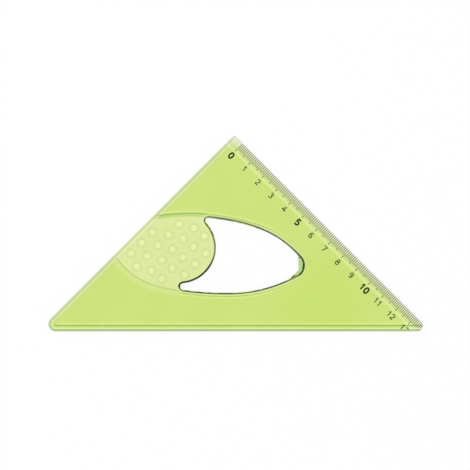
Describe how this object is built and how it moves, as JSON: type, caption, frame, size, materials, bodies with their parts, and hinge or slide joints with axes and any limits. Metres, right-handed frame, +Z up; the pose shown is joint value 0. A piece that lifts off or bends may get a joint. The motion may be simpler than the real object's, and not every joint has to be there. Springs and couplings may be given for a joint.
{
  "type": "set square",
  "caption": "Flexible 45 degree set square: a thin clear moulding with a bevelled millimetre scale, an inking ledge and an eye-shaped window beside a dimpled finger grip.",
  "frame": {"origin": "middle of the square's box, on the flat underside", "axes": "+X along the long side towards the ruled end, +Y from the long side towards the right angle, +Z up out of the ruled face"},
  "size_m": [0.1992, 0.104, 0.002],
  "materials": {
    "lime_plastic": "clear flexible lime plastic with a polished moulded skin",
    "scale_ink": "matt black printing ink"
  },
  "bodies": {
    "root": {"blade": "lime_plastic", "centimetre_lines": "scale_ink", "half_centimetre_lines": "scale_ink", "millimetre_lines": "scale_ink"}
  },
  "joints": []
}
